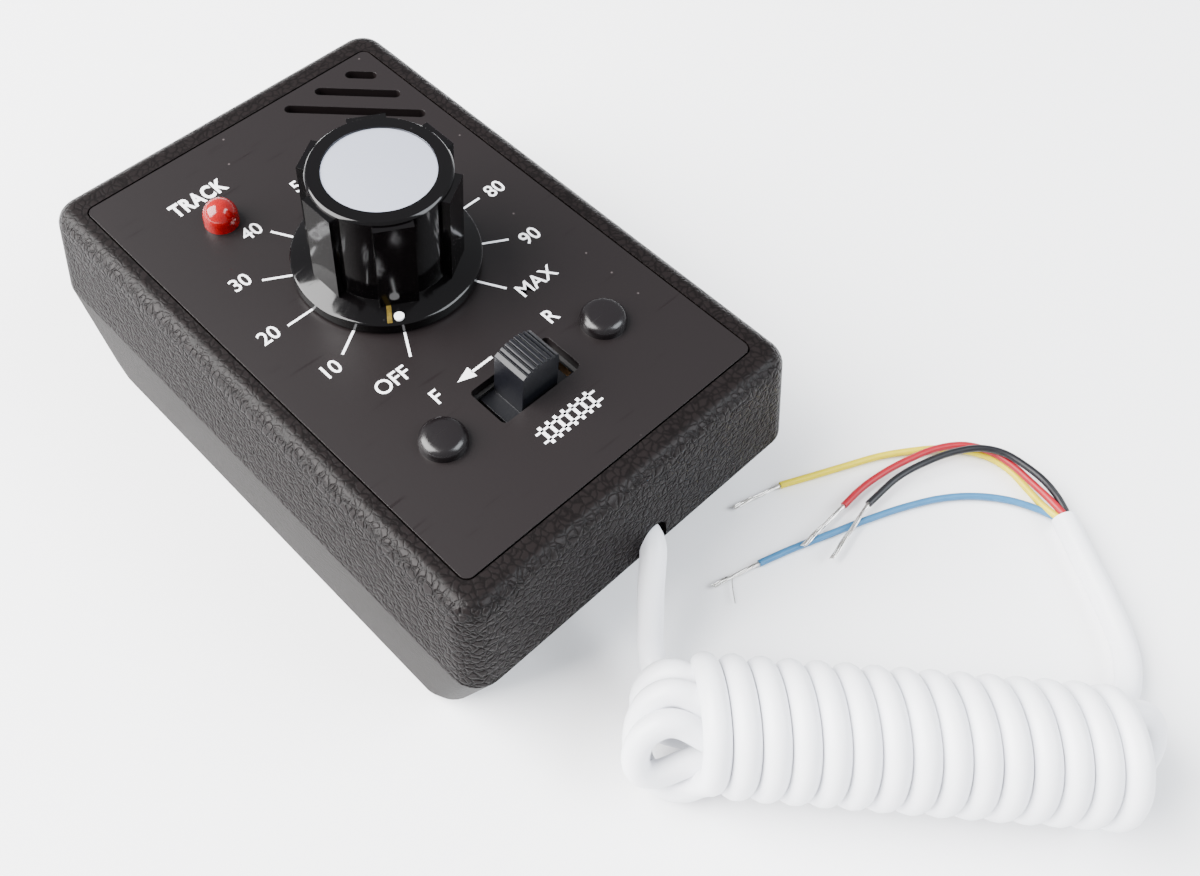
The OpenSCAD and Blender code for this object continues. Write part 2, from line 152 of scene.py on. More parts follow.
def cord_curve(name, points_mm, diameter_mm, made):
    """A round cord along the points."""
    curve = bpy.data.curves.new(name, "CURVE")
    curve.dimensions = "3D"
    curve.bevel_depth = diameter_mm / 2 * MM
    curve.bevel_resolution = 5
    curve.use_fill_caps = True
    spline = curve.splines.new("POLY")
    spline.points.add(len(points_mm) - 1)
    for point, place in zip(spline.points, points_mm):
        point.co = (*(place * MM), 1)
    spline.use_smooth = True
    curve.materials.append(made)
    cord = bpy.data.objects.new(name, curve)
    bpy.context.collection.objects.link(cord)
    return cord


cable_d = 3.7
wraps = 15
wrap_pitch = 3.65
wrap_r = 7.55
wrap_lean = 0.22
wrap_shift = 0.5
wrap_start = 235
points_per_wrap = 24
last_wrap_short = 0.35
run_r = 3.7
route_step = 0.8
easing_passes = 6
hank_turn = Matrix.Rotation(math.radians(-47.8), 3, "Z")
hank_at = Vector((-9.1, -66, 9.45))


def in_hank(along, across, height):
    """A place in the hank: along its axis, across it, and above the table."""
    return hank_at + hank_turn @ Vector((along, across, height - hank_at.z))


def run_at(degrees):
    """Where one of the inner runs lies round the hank's axis."""
    a = math.radians(degrees)
    return run_r * math.cos(a), hank_at.z + run_r * math.sin(a)


def run(degrees, start, end):
    """Points of a straight inner run."""
    across, height = run_at(degrees)
    return [in_hank(start + (end - start) * k / 4, across, height) for k in range(5)]


def fold(degrees, along, way):
    """Points of the half circle that turns an inner run back to the one opposite it."""
    places = []
    for a in (45, 90, 135):
        across, height = run_at(degrees)
        swing = math.cos(math.radians(a))
        places.append(in_hank(
            along + way * run_r * math.sin(math.radians(a)),
            across * swing, hank_at.z + (height - hank_at.z) * swing,
        ))
    return places


lead = [
    (2.1, -43, 18.9), (1.9, -45.6, 18.9), (1.3, -47, 18.8), (0.3, -47.9, 18.3),
    (-0.8, -48.8, 17.2), (-1.9, -49.9, 15.3), (-2.9, -51.1, 12.8), (-4, -52.4, 10.2),
    (-5, -53.6, 8), (-6.4, -55.8, 6.6), (-8.1, -59, 6.2),
]
near_loop = [
    (-1.3, -2.2, 12.8), (-4.1, -1.8, 13.9), (-6.9, -2.8, 12.7), (-8.2, -4.7, 9.8), (-7.6, -6.2, 7),
    (-5.4, -6, 5.8), (-2.6, -4.8, 6.2), (0.5, -3.5, 7.1),
]
far_loop = [
    (-1.3, 4.7, 12.4), (-3.7, 5.6, 12.8), (-6.1, 5.1, 11), (-7.3, 3.6, 7.6), (-6.3, 2.2, 4.5),
    (-3.9, 1.2, 3.3), (-0.9, 0.4, 4.2),
]
middle_loop = [
    (-1.3, 1.4, 14.1), (-4.1, 2, 14.7), (-6.7, 1.2, 12.7), (-7.9, -0.6, 9), (-7.6, -2.8, 5.4),
    (-6, -4.7, 2.9), (-3.8, -5.8, 2.1), (-1.2, -6.4, 2.6),
]
end_loop = [
    (54.4, -1.6, 6.8), (57.4, 0.8, 6.6), (58.8, 3.6, 7.6), (58.2, 5.7, 9.6), (55.4, 5.6, 11),
]
tail = [
    (33.9, -101.5, 6.2), (35.7, -101.7, 3.4), (38.3, -101.8, 2.1), (41.2, -101, 1.9),
    (44, -99.2, 1.9), (46.5, -96.7, 1.9), (48.8, -93.5, 1.9), (51, -90.2, 1.9),
    (53.1, -86.7, 1.9), (55.3, -83.2, 1.9), (57.4, -79.9, 1.9),
]


def wrap_point(turn):
    """A place on the wraps, counted in turns from their start at the near side's foot."""
    a = math.radians(wrap_start - 360 * turn)
    across, height = wrap_r * math.cos(a), hank_at.z + wrap_r * math.sin(a)
    return in_hank(turn * wrap_pitch - wrap_lean * across - wrap_shift, across, height)


wrapped = [
    wrap_point(k / points_per_wrap)
    for k in range(1, round((wraps - last_wrap_short) * points_per_wrap) + 1)
]
inner = [
    *[Vector(p) for p in lead],
    *run(330, 2, 48), *fold(330, 48, 1), *run(150, 48, 2),
    *[in_hank(*p) for p in near_loop],
    *run(210, 4, 50), *[in_hank(*p) for p in end_loop], *run(30, 50, 4),
    *[in_hank(*p) for p in far_loop],
    *run(270, 4, 48), *fold(270, 48, 1), *run(90, 48, 2),
    *[in_hank(*p) for p in middle_loop],
]
cable_points = eased(
    smooth_route(inner + wrapped[::3] + [Vector(p) for p in tail], route_step), easing_passes
)

vinyl = shader(
    "white_vinyl", (0.83, 0.84, 0.88), 0.36, Subsurface_Weight=0.06,
    Subsurface_Radius=(0.001, 0.001, 0.0012), Specular_IOR_Level=0.45,
)
mottled(vinyl, noise(vinyl, 180, 3), (0.80, 0.81, 0.85), (0.87, 0.88, 0.91))
bumped(vinyl, noise(vinyl, 900, 2), 0.15, 0.0001)

cable = cord_curve("cable", cable_points, cable_d, vinyl)
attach(cable, "case")
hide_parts("cable_lead", "cable_hank", "cable_tail")


# ---- Cores ----
# Four thin stranded wires, each in its own coloured vinyl, fan out of the jacket's cut
# end. Their ends are stripped, and the tinned copper strands are lightly twisted.
def sweep(mesh, points, radius, sides):
    """Adds a round tube along the points to a bmesh."""
    rings = []
    for i, place in enumerate(points):
        ahead = points[min(i + 1, len(points) - 1)] - points[max(i - 1, 0)]
        side = ahead.cross(Vector((0, 0, 1))).normalized()
        up = side.cross(ahead).normalized()
        turn = [2 * math.pi * k / sides for k in range(sides)]
        rings.append([
            mesh.verts.new(place + radius * (math.cos(a) * side + math.sin(a) * up)) for a in turn
        ])
    for one, other in zip(rings, rings[1:]):
        for k in range(sides):
            mesh.faces.new((one[k], one[(k + 1) % sides], other[(k + 1) % sides], other[k]))
    mesh.faces.new(rings[0][::-1])
    mesh.faces.new(rings[-1])


def mesh_object(name, mesh, made, angle=35):
    """Turns a bmesh in millimetres into a smooth shaded object in metres."""
    bmesh.ops.remove_doubles(mesh, verts=mesh.verts, dist=1e-5)
    bmesh.ops.recalc_face_normals(mesh, faces=mesh.faces)
    bmesh.ops.scale(mesh, vec=(MM, MM, MM), verts=mesh.verts)
    data = bpy.data.meshes.new(name)
    mesh.to_mesh(data)
    mesh.free()
    data.materials.append(made)
    data.shade_smooth()
    data.set_sharp_from_angle(angle=math.radians(angle))
    made_object = bpy.data.objects.new(name, data)
    bpy.context.collection.objects.link(made_object)
    return made_object


core_d = 1.1
core_step = 0.7
strands = 7
strand_r = 0.1
strand_twist = 3.2
stray_r = 0.09
tube_sides = 6
cores = {
    "yellow": ((0.64, 0.52, 0.003), (23.2, -44.9, 0.5), [
        (56.8, -80, 1.9), (57.4, -76.5, 1.2), (58.6, -73, 0.6), (59.4, -69.5, 0.6),
        (59.1, -66, 0.6), (57.4, -62.6, 0.6), (54.5, -59.4, 0.6), (51, -56.8, 0.6),
        (46.8, -54.2, 0.6), (41.4, -51.7, 0.6), (36.3, -49.4, 0.6), (31.5, -47.2, 0.6)]),
    "red": ((0.30, 0.005, 0.016), (25.2, -56.5, 1.6), [
        (57.4, -80.2, 2.4), (58.2, -76.5, 2.4), (59, -73, 2), (59.5, -69.3, 1.9),
        (59.2, -65.6, 1.8), (57.3, -62.2, 1.8), (53.8, -59.7, 1.8), (49.5, -58, 1.6),
        (44.5, -56.7, 1.4), (39.8, -56.1, 1.3), (35.3, -56.2, 1.4)]),
    "black": ((0.008, 0.008, 0.010), (26.5, -60.8, 1.8), [
        (58, -80.3, 1.9), (59.2, -77.4, 2.6), (59.7, -74.5, 3.2), (59.9, -71, 3.2),
        (59.5, -67.4, 3.1), (57.8, -64.5, 3), (54.5, -62.1, 2.8), (49.9, -60.1, 2.4),
        (44.9, -58.8, 2), (38, -58.6, 1.7)]),
    "blue": ((0.035, 0.15, 0.30), (11.2, -51.6, 0.5), [
        (57.4, -80.2, 1.2), (56.6, -76.3, 0.8), (54.8, -72.3, 0.6), (51.7, -68.5, 0.6),
        (47.7, -65.3, 0.6), (42.3, -62.4, 0.6), (36.1, -59.8, 0.6), (29.6, -57.4, 0.6),
        (24.1, -55.4, 0.6), (19, -53.8, 0.6)]),
}

tinned = shader("tinned_copper", (0.72, 0.70, 0.67), 0.28, Metallic=1.0)


def glossed(made, mask, low, high):
    """Lets a mask vary the roughness."""
    gloss = add_node(made, "ShaderNodeMapRange", [("Value", mask)], To_Min=low, To_Max=high)
    feed(made, "Roughness", gloss.outputs["Result"])


glossed(tinned, noise(tinned, 2500, 2), 0.18, 0.42)
for color_name, (color, tip, route) in cores.items():
    skin = shader(f"{color_name}_vinyl", color, 0.38, Specular_IOR_Level=0.3)
    mottled(skin, noise(skin, 700, 2), [c * 0.86 for c in color], [min(1, c * 1.1) for c in color])
    points = smooth_route(route, core_step)
    wire = cord_curve(f"core_{color_name}_wire", points, core_d, skin)
    wire.data.bevel_resolution = 3
    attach(wire, "case")
    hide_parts(f"core_{color_name}")

    end, tip = Vector(route[-1]), Vector(tip)
    ahead = (tip - end).normalized()
    side = ahead.cross(Vector((0, 0, 1))).normalized()
    up = side.cross(ahead)
    bundle = bmesh.new()
    for strand in range(strands):
        line = []
        for k in range(13):
            t = k / 12
            a = strand * math.pi / 3 + strand_twist * t
            out = 0 if strand == strands - 1 else 0.2 + 0.05 * math.sin(5 * strand + 9 * t) + 0.1 * t * t
            place = end.lerp(tip, t * (0.94 + 0.02 * (strand % 4))) - 0.4 * (1 - t) * ahead
            line.append(place + out * (math.cos(a) * side + 0.8 * math.sin(a) * up))
        sweep(bundle, line, strand_r, tube_sides)
    if color_name == "blue":
        stray = [
            end + 4.6 * ahead, end + 5.2 * ahead - 0.8 * side,
            end + 5.9 * ahead - 2.2 * side, end + 6.6 * ahead - 3.8 * side,
        ]
        sweep(bundle, stray, stray_r, tube_sides)
    bared = mesh_object(f"bare_end_{color_name}", bundle, tinned, 60)
    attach(bared, "case")
    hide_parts(f"strands_{color_name}")

# ---- Case halves ----
# Two mouldings in dark brown-black ABS that meet at the parting line. The tool gives the
# walls a coarse leather grain and the top border a fine one. Four screws from below are a
# likely fixing, and are not seen.
def smoothed_copy(name, node, bevel_mm, made, body, angle=35):
    """A clean copy of a CAD node: flat faces merged, sharp edges rounded, smooth shaded."""
    mesh = bmesh.new()
    mesh.from_mesh(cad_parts[node].data)
    bmesh.ops.remove_doubles(mesh, verts=mesh.verts, dist=1e-6)
    bmesh.ops.dissolve_limit(mesh, angle_limit=math.radians(0.5), verts=mesh.verts, edges=mesh.edges)
    if bevel_mm:
        sharp = [e for e in mesh.edges if e.is_manifold and e.calc_face_angle() > math.radians(angle)]
        bmesh.ops.bevel(
            mesh, geom=sharp, offset=bevel_mm * MM, segments=2, profile=0.5,
            affect="EDGES", clamp_overlap=True,
        )
    data = bpy.data.meshes.new(name)
    mesh.to_mesh(data)
    mesh.free()
    data.materials.clear()
    data.materials.append(made)
    data.shade_smooth()
    data.set_sharp_from_angle(angle=math.radians(angle))
    piece = bpy.data.objects.new(name, data)
    bpy.context.collection.objects.link(piece)
    weighted = piece.modifiers.new("even_shading", "WEIGHTED_NORMAL")
    weighted.keep_sharp = True
    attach(piece, body)
    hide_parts(node)


# Moulded leather grain: rounded pebbles parted by creases, drawn out of line by a slow noise.
grain = bpy.data.node_groups.new("moulded_grain", "ShaderNodeTree")
grain.interface.new_socket("Vector", in_out="INPUT", socket_type="NodeSocketVector")
grain.interface.new_socket("Pebbles", in_out="INPUT", socket_type="NodeSocketFloat").default_value = 900
grain.interface.new_socket("Height", in_out="OUTPUT", socket_type="NodeSocketFloat")
grain.interface.new_socket("Crease", in_out="OUTPUT", socket_type="NodeSocketFloat")
inlet = grain.nodes.new("NodeGroupInput")
outlet = grain.nodes.new("NodeGroupOutput")
drift = add_node(grain, "ShaderNodeTexNoise", [("Vector", inlet.outputs["Vector"])], Scale=520, Detail=3)
centred = add_node(grain, "ShaderNodeVectorMath", [("Vector", drift.outputs["Color"])], operation="SUBTRACT")
centred.inputs[1].default_value = (0.5, 0.5, 0.5)
pull = add_node(grain, "ShaderNodeVectorMath", [("Vector", centred.outputs["Vector"])], operation="SCALE")
pull.inputs["Scale"].default_value = 0.0016
moved = add_node(grain, "ShaderNodeVectorMath", [(0, inlet.outputs["Vector"]), (1, pull.outputs["Vector"])])
pebbles = add_node(
    grain, "ShaderNodeTexVoronoi",
    [("Vector", moved.outputs["Vector"]), ("Scale", inlet.outputs["Pebbles"])],
    feature="DISTANCE_TO_EDGE",
)
dome = add_node(
    grain, "ShaderNodeMapRange", [("Value", pebbles.outputs["Distance"])],
    interpolation_type="SMOOTHSTEP",
)
dome.inputs["From Max"].default_value = 0.22
fine = add_node(grain, "ShaderNodeTexNoise", [("Vector", inlet.outputs["Vector"])], Scale=2600, Detail=2)
sum_up = add_node(
    grain, "ShaderNodeMath", [(0, fine.outputs["Fac"]), (2, dome.outputs["Result"])], operation="MULTIPLY_ADD"
)
sum_up.inputs[1].default_value = 0.35
# The crease mask marks where painted shade darkens the grain's colour.
crease = add_node(grain, "ShaderNodeMath", [(1, dome.outputs["Result"])], operation="SUBTRACT")
crease.inputs[0].default_value = 1.0
grain.links.new(sum_up.outputs["Value"], outlet.inputs["Height"])
grain.links.new(crease.outputs["Value"], outlet.inputs["Crease"])


def grained(made, pebble_scale, strength, depth, crease_shade, light):
    """Gives a material the moulded grain, with painted shade making its creases darker than its pebbles."""
    coords = add_node(made, "ShaderNodeTexCoord")
    group = made.node_tree.nodes.new("ShaderNodeGroup")
    group.node_tree = grain
    group.inputs["Pebbles"].default_value = pebble_scale
    made.node_tree.links.new(coords.outputs["Object"], group.inputs["Vector"])
    # The crease mask mixes the darker colour into the creases: painted shade.
    mottled(made, group.outputs["Crease"], light, crease_shade)
    return bumped(made, group.outputs["Height"], strength, depth)


upper_abs = shader("upper_case_abs", (0.005, 0.0038, 0.0038), 0.4, Specular_IOR_Level=0.12)
# The darker of the two grain colours is painted shade in the creases.
wall_bump = grained(
    upper_abs, 950, 0.6, 0.00016, (0.0024, 0.0017, 0.0017), (0.0062, 0.0046, 0.0046)
)
# The border round the panel has a much finer grain than the walls; here the grain's bump is made much weaker
# on top.
coords = add_node(upper_abs, "ShaderNodeTexCoord")
place = add_node(upper_abs, "ShaderNodeSeparateXYZ", [("Vector", coords.outputs["Object"])])
on_top = add_node(upper_abs, "ShaderNodeMapRange", [("Value", place.outputs["Z"])], To_Min=1.0, To_Max=0.16)
on_top.inputs["From Min"].default_value = 0.0322
on_top.inputs["From Max"].default_value = 0.0329
upper_abs.node_tree.links.new(on_top.outputs["Result"], wall_bump.inputs["Strength"])
# Upright walls reflect less than the edges do, so that the bright table doesn't wash them out.
facing = add_node(upper_abs, "ShaderNodeNewGeometry")
way_up = add_node(upper_abs, "ShaderNodeSeparateXYZ", [("Vector", facing.outputs["Normal"])])
polish = add_node(
    upper_abs, "ShaderNodeMapRange", [("Value", way_up.outputs["Z"])], To_Min=0.004, To_Max=0.12
)
polish.inputs["From Max"].default_value = 0.5
feed(upper_abs, "Specular IOR Level", polish.outputs["Result"])
smoothed_copy("top_shell_moulding", "top_shell", 0.18, upper_abs, "case")

lower_abs = shader("lower_case_abs", (0.012, 0.0105, 0.0095), 0.42, Specular_IOR_Level=0.02)
# The darker of the two grain colours is painted shade in the creases.
grained(lower_abs, 1500, 0.3, 0.0001, (0.005, 0.0042, 0.0038), (0.0105, 0.009, 0.0083))
smoothed_copy("bottom_shell_moulding", "bottom_shell", 0.14, lower_abs, "case")

# ---- Control panel ----
# A flush satin plastic plate, let into the top's recess, with the slots and holes cut in
# it. It carries specks of dust and faint hairline scratches.
handling = bpy.data.node_groups.new("dust_and_scratches", "ShaderNodeTree")
handling.interface.new_socket("Vector", in_out="INPUT", socket_type="NodeSocketVector")
handling.interface.new_socket("Specks", in_out="INPUT", socket_type="NodeSocketFloat").default_value = 600
handling.interface.new_socket("Dust", in_out="OUTPUT", socket_type="NodeSocketFloat")
handling.interface.new_socket("Scratch", in_out="OUTPUT", socket_type="NodeSocketFloat")
inlet = handling.nodes.new("NodeGroupInput")
outlet = handling.nodes.new("NodeGroupOutput")
speck = add_node(
    handling, "ShaderNodeTexVoronoi",
    [("Vector", inlet.outputs["Vector"]), ("Scale", inlet.outputs["Specks"])],
)
dot = add_node(handling, "ShaderNodeMapRange", [("Value", speck.outputs["Distance"])], To_Min=1.0, To_Max=0.0)
dot.inputs["From Min"].default_value = 0.03
dot.inputs["From Max"].default_value = 0.09
pick = add_node(handling, "ShaderNodeSeparateXYZ", [("Vector", speck.outputs["Color"])])
few = add_node(handling, "ShaderNodeMath", [(0, pick.outputs["X"])], operation="GREATER_THAN")
few.inputs[1].default_value = 0.86
dust = add_node(
    handling, "ShaderNodeMath", [(0, dot.outputs["Result"]), (1, few.outputs["Value"])],
    operation="MULTIPLY",
)
handling.links.new(dust.outputs["Value"], outlet.inputs["Dust"])
long_way = add_node(handling, "ShaderNodeMapping", [("Vector", inlet.outputs["Vector"])])
long_way.inputs["Rotation"].default_value = (0, 0, math.radians(38))
long_way.inputs["Scale"].default_value = (60, 900, 300)
hair = add_node(handling, "ShaderNodeTexNoise", [("Vector", long_way.outputs["Vector"])], Scale=1.4, Detail=1)
line = add_node(handling, "ShaderNodeMapRange", [("Value", hair.outputs["Fac"])])
line.inputs["From Min"].default_value = 0.70
line.inputs["From Max"].default_value = 0.78
handling.links.new(line.outputs["Result"], outlet.inputs["Scratch"])


def handled(made, specks, clean, dusty, smooth, scuffed):
    """Gives a material dust specks in its colour and scratches in its gloss."""
    coords = add_node(made, "ShaderNodeTexCoord")
    group = made.node_tree.nodes.new("ShaderNodeGroup")
    group.node_tree = handling
    group.inputs["Specks"].default_value = specks
    made.node_tree.links.new(coords.outputs["Object"], group.inputs["Vector"])
    mottled(made, group.outputs["Dust"], clean, dusty)
    glossed(made, group.outputs["Scratch"], smooth, scuffed)


panel_abs = shader("panel_satin_abs", (0.0055, 0.0038, 0.004), 0.38, Specular_IOR_Level=0.33)
handled(panel_abs, 420, (0.0055, 0.0038, 0.004), (0.06, 0.05, 0.05), 0.38, 0.27)
bumped(panel_abs, noise(panel_abs, 2200, 2), 0.12, 0.00004)
smoothed_copy("panel_plate", "control_panel", 0.1, panel_abs, "case")

# ---- Dial ----
# White screen print on the panel: eleven ticks from OFF round to MAX, the numbers, the
# lamp's name, the direction letters with their arrow, and a plain piece of track.
print_ink = shader("white_print", (0.86, 0.86, 0.88), 0.5)
mottled(print_ink, noise(print_ink, 2400, 2), (0.78, 0.78, 0.80), (0.92, 0.92, 0.94))
panel_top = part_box("control_panel")[1].z
dial_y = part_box("knob_body")[0].y / 2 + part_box("knob_body")[1].y / 2
print_lift = 0.00001

tick_tree = bpy.data.node_groups.new("dial_ticks", "GeometryNodeTree")
tick_tree.interface.new_socket("Geometry", in_out="OUTPUT", socket_type="NodeSocketGeometry")
tick_sizes = {}
for label, value in (
    ("Start Angle", -60.0), ("Sweep", 300.0), ("Radius", 0.01515), ("Length", 0.0042),
    ("Width", 0.00034),
):
    socket = tick_tree.interface.new_socket(label, in_out="INPUT", socket_type="NodeSocketFloat")
    tick_sizes[socket.identifier] = math.radians(value) if label in ("Start Angle", "Sweep") else value
count_socket = tick_tree.interface.new_socket("Count", in_out="INPUT", socket_type="NodeSocketInt")
tick_sizes[count_socket.identifier] = 11
inlet = tick_tree.nodes.new("NodeGroupInput")
outlet = tick_tree.nodes.new("NodeGroupOutput")
arc = add_node(
    tick_tree, "GeometryNodeCurveArc",
    [("Radius", inlet.outputs["Radius"]), ("Start Angle", inlet.outputs["Start Angle"]),
     ("Sweep Angle", inlet.outputs["Sweep"]), ("Resolution", inlet.outputs["Count"])],
)
spots = add_node(
    tick_tree, "GeometryNodeCurveToPoints",
    [("Curve", arc.outputs["Curve"]), ("Count", inlet.outputs["Count"])],
)
outwards = add_node(tick_tree, "GeometryNodeInputPosition")
turned = add_node(
    tick_tree, "FunctionNodeAlignRotationToVector", [("Vector", outwards.outputs["Position"])],
    axis="X", pivot_axis="Z",
)
size = add_node(
    tick_tree, "ShaderNodeCombineXYZ", [("X", inlet.outputs["Length"]), ("Y", inlet.outputs["Width"])]
)
size.inputs["Z"].default_value = 0.00003
bar = add_node(tick_tree, "GeometryNodeMeshCube", [("Size", size.outputs["Vector"])])
placed = add_node(
    tick_tree, "GeometryNodeInstanceOnPoints",
    [("Points", spots.outputs["Points"]), ("Instance", bar.outputs["Mesh"]),
     ("Rotation", turned.outputs["Rotation"])],
)
real = add_node(tick_tree, "GeometryNodeRealizeInstances", [("Geometry", placed.outputs["Instances"])])
inked = add_node(tick_tree, "GeometryNodeSetMaterial", [("Geometry", real.outputs["Geometry"])])
inked.inputs["Material"].default_value = print_ink
tick_tree.links.new(inked.outputs["Geometry"], outlet.inputs["Geometry"])
blank = bpy.data.objects.new("dial_ticks_maker", bpy.data.meshes.new("dial_ticks_maker"))
bpy.context.collection.objects.link(blank)
maker = blank.modifiers.new("dial_ticks", "NODES")
maker.node_group = tick_tree
for identifier, value in tick_sizes.items():
    maker[identifier] = value
bpy.context.view_layer.update()
data = bpy.data.meshes.new_from_object(blank.evaluated_get(bpy.context.evaluated_depsgraph_get()))
bpy.data.objects.remove(blank)
data.transform(Matrix.Translation((0, dial_y, panel_top + print_lift)))
prints = [bpy.data.objects.new("dial_ticks", data)]
bpy.context.collection.objects.link(prints[0])


letter_scale = 1.38
ink_depth = 0.000015


def legend(name, words, x_mm, y_mm, height_mm, stretch, bold_mm, spacing):
    """Printed words, centred on a place on the panel."""
    text = bpy.data.curves.new(name, "FONT")
    text.body = words
    text.align_x = "CENTER"
    text.align_y = "CENTER"
    text.size = height_mm * letter_scale * MM
    text.offset = bold_mm * MM
    text.space_character = spacing
    text.extrude = ink_depth
    text.resolution_u = 4
    text.materials.append(print_ink)
    holder = bpy.data.objects.new(name, text)
    bpy.context.collection.objects.link(holder)
    bpy.context.view_layer.update()
    data = bpy.data.meshes.new_from_object(holder.evaluated_get(bpy.context.evaluated_depsgraph_get()))
    bpy.data.objects.remove(holder)
    data.transform(Matrix.Diagonal((stretch, 1, 1, 1)))
    data.transform(Matrix.Translation((x_mm * MM, y_mm * MM, panel_top + print_lift)))
    printed = bpy.data.objects.new(name, data)
    bpy.context.collection.objects.link(printed)
    prints.append(printed)


number_h = 2.35
for name, words, x, y in (
    ("off", "OFF", -12.9, -12.0), ("n10", "10", -17.7, -5.2), ("n20", "20", -20.1, 4.7),
    ("n30", "30", -17.4, 14.6), ("n40", "40", -10.6, 21.1), ("n50", "50", 0.2, 23.7),
    ("n60", "60", 10.6, 21.1), ("n70", "70", 17.4, 14.6), ("n80", "80", 20.1, 4.2),
    ("n90", "90", 17.6, -5.8), ("max", "MAX", 12.5, -12.4),
    ("forward", "F", -10.4, -17.8), ("reverse", "R", 9.6, -18.1),
):
    legend(f"print_{name}", words, x, y, number_h, 0.94, 0.03, 1.0)
legend("print_track", "TRACK", -12.4, 31.3, 2.6, 0.70, 0.13, 1.12)


def flat_print(name, outlines_mm):
    """Printed shapes with straight sides, as thin solids on the panel."""
    mesh = bmesh.new()
    for outline in outlines_mm:
        low = [mesh.verts.new((x, y, 0)) for x, y in outline]
        high = [mesh.verts.new((x, y, 0.03)) for x, y in outline]
        mesh.faces.new(low[::-1])
        mesh.faces.new(high)
        for k in range(len(outline)):
            after = (k + 1) % len(outline)
            mesh.faces.new((low[k], low[after], high[after], high[k]))
    printed = mesh_object(name, mesh, print_ink)
    printed.data.transform(Matrix.Translation((0, 0, panel_top - 0.000005)))
    prints.append(printed)


flat_print("print_arrow", [
    [(-4.4, -18.0), (-0.8, -18.0), (-0.8, -17.6), (-4.4, -17.6)],
    [(-6.9, -17.8), (-4.3, -18.75), (-4.3, -16.85)],
])
track_y = -31.5
sleeper_pitch = 1.35
sleeper_w = 0.5
sleeper_reach = 1.5
rail_reach = 5.2
rail_w = 0.32
sleepers = [
    [(x, track_y - sleeper_reach), (x + sleeper_w, track_y - sleeper_reach),
     (x + sleeper_w, track_y + sleeper_reach), (x, track_y + sleeper_reach)]
    for x in [-4.4 + sleeper_pitch * k for k in range(7)]
]
rails = [
    [(-rail_reach, y), (rail_reach, y), (rail_reach, y + rail_w), (-rail_reach, y + rail_w)]
    for y in (track_y - 0.95, track_y + 0.63)
]
flat_print("print_track_mark", sleepers + rails)
for printed in prints:
    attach(printed, "case")

# ---- Knob ----
# A glossy phenolic collet knob with six grip lugs, a satin aluminium disc pressed into its
# top, and a white dot on its skirt. Its collet and nut are brass.
knob_gloss = shader("knob_gloss", (0.0007, 0.0005, 0.0006), 0.12, Specular_IOR_Level=0.28)
handled(knob_gloss, 500, (0.0007, 0.0005, 0.0006), (0.02, 0.018, 0.018), 0.11, 0.24)
bumped(knob_gloss, noise(knob_gloss, 160, 1), 0.25, 0.0003)
smoothed_copy("knob_moulding", "knob_body", 0.28, knob_gloss, "knob", 30)

disc_metal = shader("disc_satin_aluminium", (0.82, 0.86, 1.0), 0.46, Metallic=1.0)
coords = add_node(disc_metal, "ShaderNodeTexCoord")
centre = add_node(disc_metal, "ShaderNodeMapping", [("Vector", coords.outputs["Object"])])
centre.inputs["Location"].default_value = (0, -dial_y, 0)
rings = add_node(
    disc_metal, "ShaderNodeTexWave", [("Vector", centre.outputs["Vector"])], wave_type="RINGS",
    rings_direction="Z", Scale=4200, Distortion=1.5, Detail=2,
)
glossed(disc_metal, rings.outputs["Fac"], 0.42, 0.52)
bumped(disc_metal, rings.outputs["Fac"], 0.06, 0.00001)
smoothed_copy("knob_disc_plate", "knob_disc", 0.08, disc_metal, "knob")

dot_white = shader("pointer_paint", (0.88, 0.88, 0.9), 0.4)
bumped(dot_white, noise(dot_white, 3000, 2), 0.2, 0.00003)
smoothed_copy("knob_dot", "knob_pointer", 0, dot_white, "knob")

# A short bar in mottled metallic gold lies beside the dot, on the slope of the skirt.
gold_metal = shader("gold_bar_metal", (0.55, 0.36, 0.05), 0.25, Metallic=1.0)
mottled(gold_metal, noise(gold_metal, 1500, 3), (0.20, 0.12, 0.02), (0.90, 0.66, 0.16))
skirt_rim = (12.95, 35.11)
skirt_root = (10.3, 35.86)
gold_bar_half = 0.03
gold_bar_corners = ((skirt_root, 230), (skirt_root, 233.5), (skirt_rim, 233.5), (skirt_rim, 230.5))
gold_bar_mesh = bmesh.new()
levels = []
for lift in (-gold_bar_half, gold_bar_half):
    corners = []
    for (r, z), degrees in gold_bar_corners:
        a = math.radians(degrees)
        corners.append(gold_bar_mesh.verts.new((r * math.cos(a), dial_y / MM + r * math.sin(a), z + lift)))
    levels.append(corners)
gold_bar_mesh.faces.new(levels[0][::-1])
gold_bar_mesh.faces.new(levels[1])
for k in range(4):
    gold_bar_mesh.faces.new((levels[0][k], levels[0][k - 3], levels[1][k - 3], levels[1][k]))
gold_bar_piece = mesh_object("knob_gold_bar", gold_bar_mesh, gold_metal)
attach(gold_bar_piece, "knob")

# ---- Switch ----
# The slide switch hangs below its slot on two dome-headed rivets. Its ribbed finger piece
# and the rivet heads are satin black nylon.
finger_nylon = shader("finger_nylon", (0.0032, 0.0034, 0.0052), 0.38, Specular_IOR_Level=0.26)
handled(finger_nylon, 700, (0.0032, 0.0034, 0.005), (0.04, 0.04, 0.04), 0.36, 0.28)
bumped(finger_nylon, noise(finger_nylon, 1800, 3), 0.2, 0.00005)
smoothed_copy("switch_finger", "switch_slider", 0.07, finger_nylon, "slider")

rivet_nylon = shader("rivet_nylon", (0.004, 0.003, 0.0034), 0.26, Specular_IOR_Level=0.4)
handled(rivet_nylon, 520, (0.004, 0.003, 0.0034), (0.05, 0.045, 0.045), 0.26, 0.38)
bumped(rivet_nylon, noise(rivet_nylon, 1500, 3), 0.25, 0.00005)
for side in ("left", "right"):
    smoothed_copy(f"rivet_{side}", f"switch_rivet_{side}", 0, rivet_nylon, "case", 50)

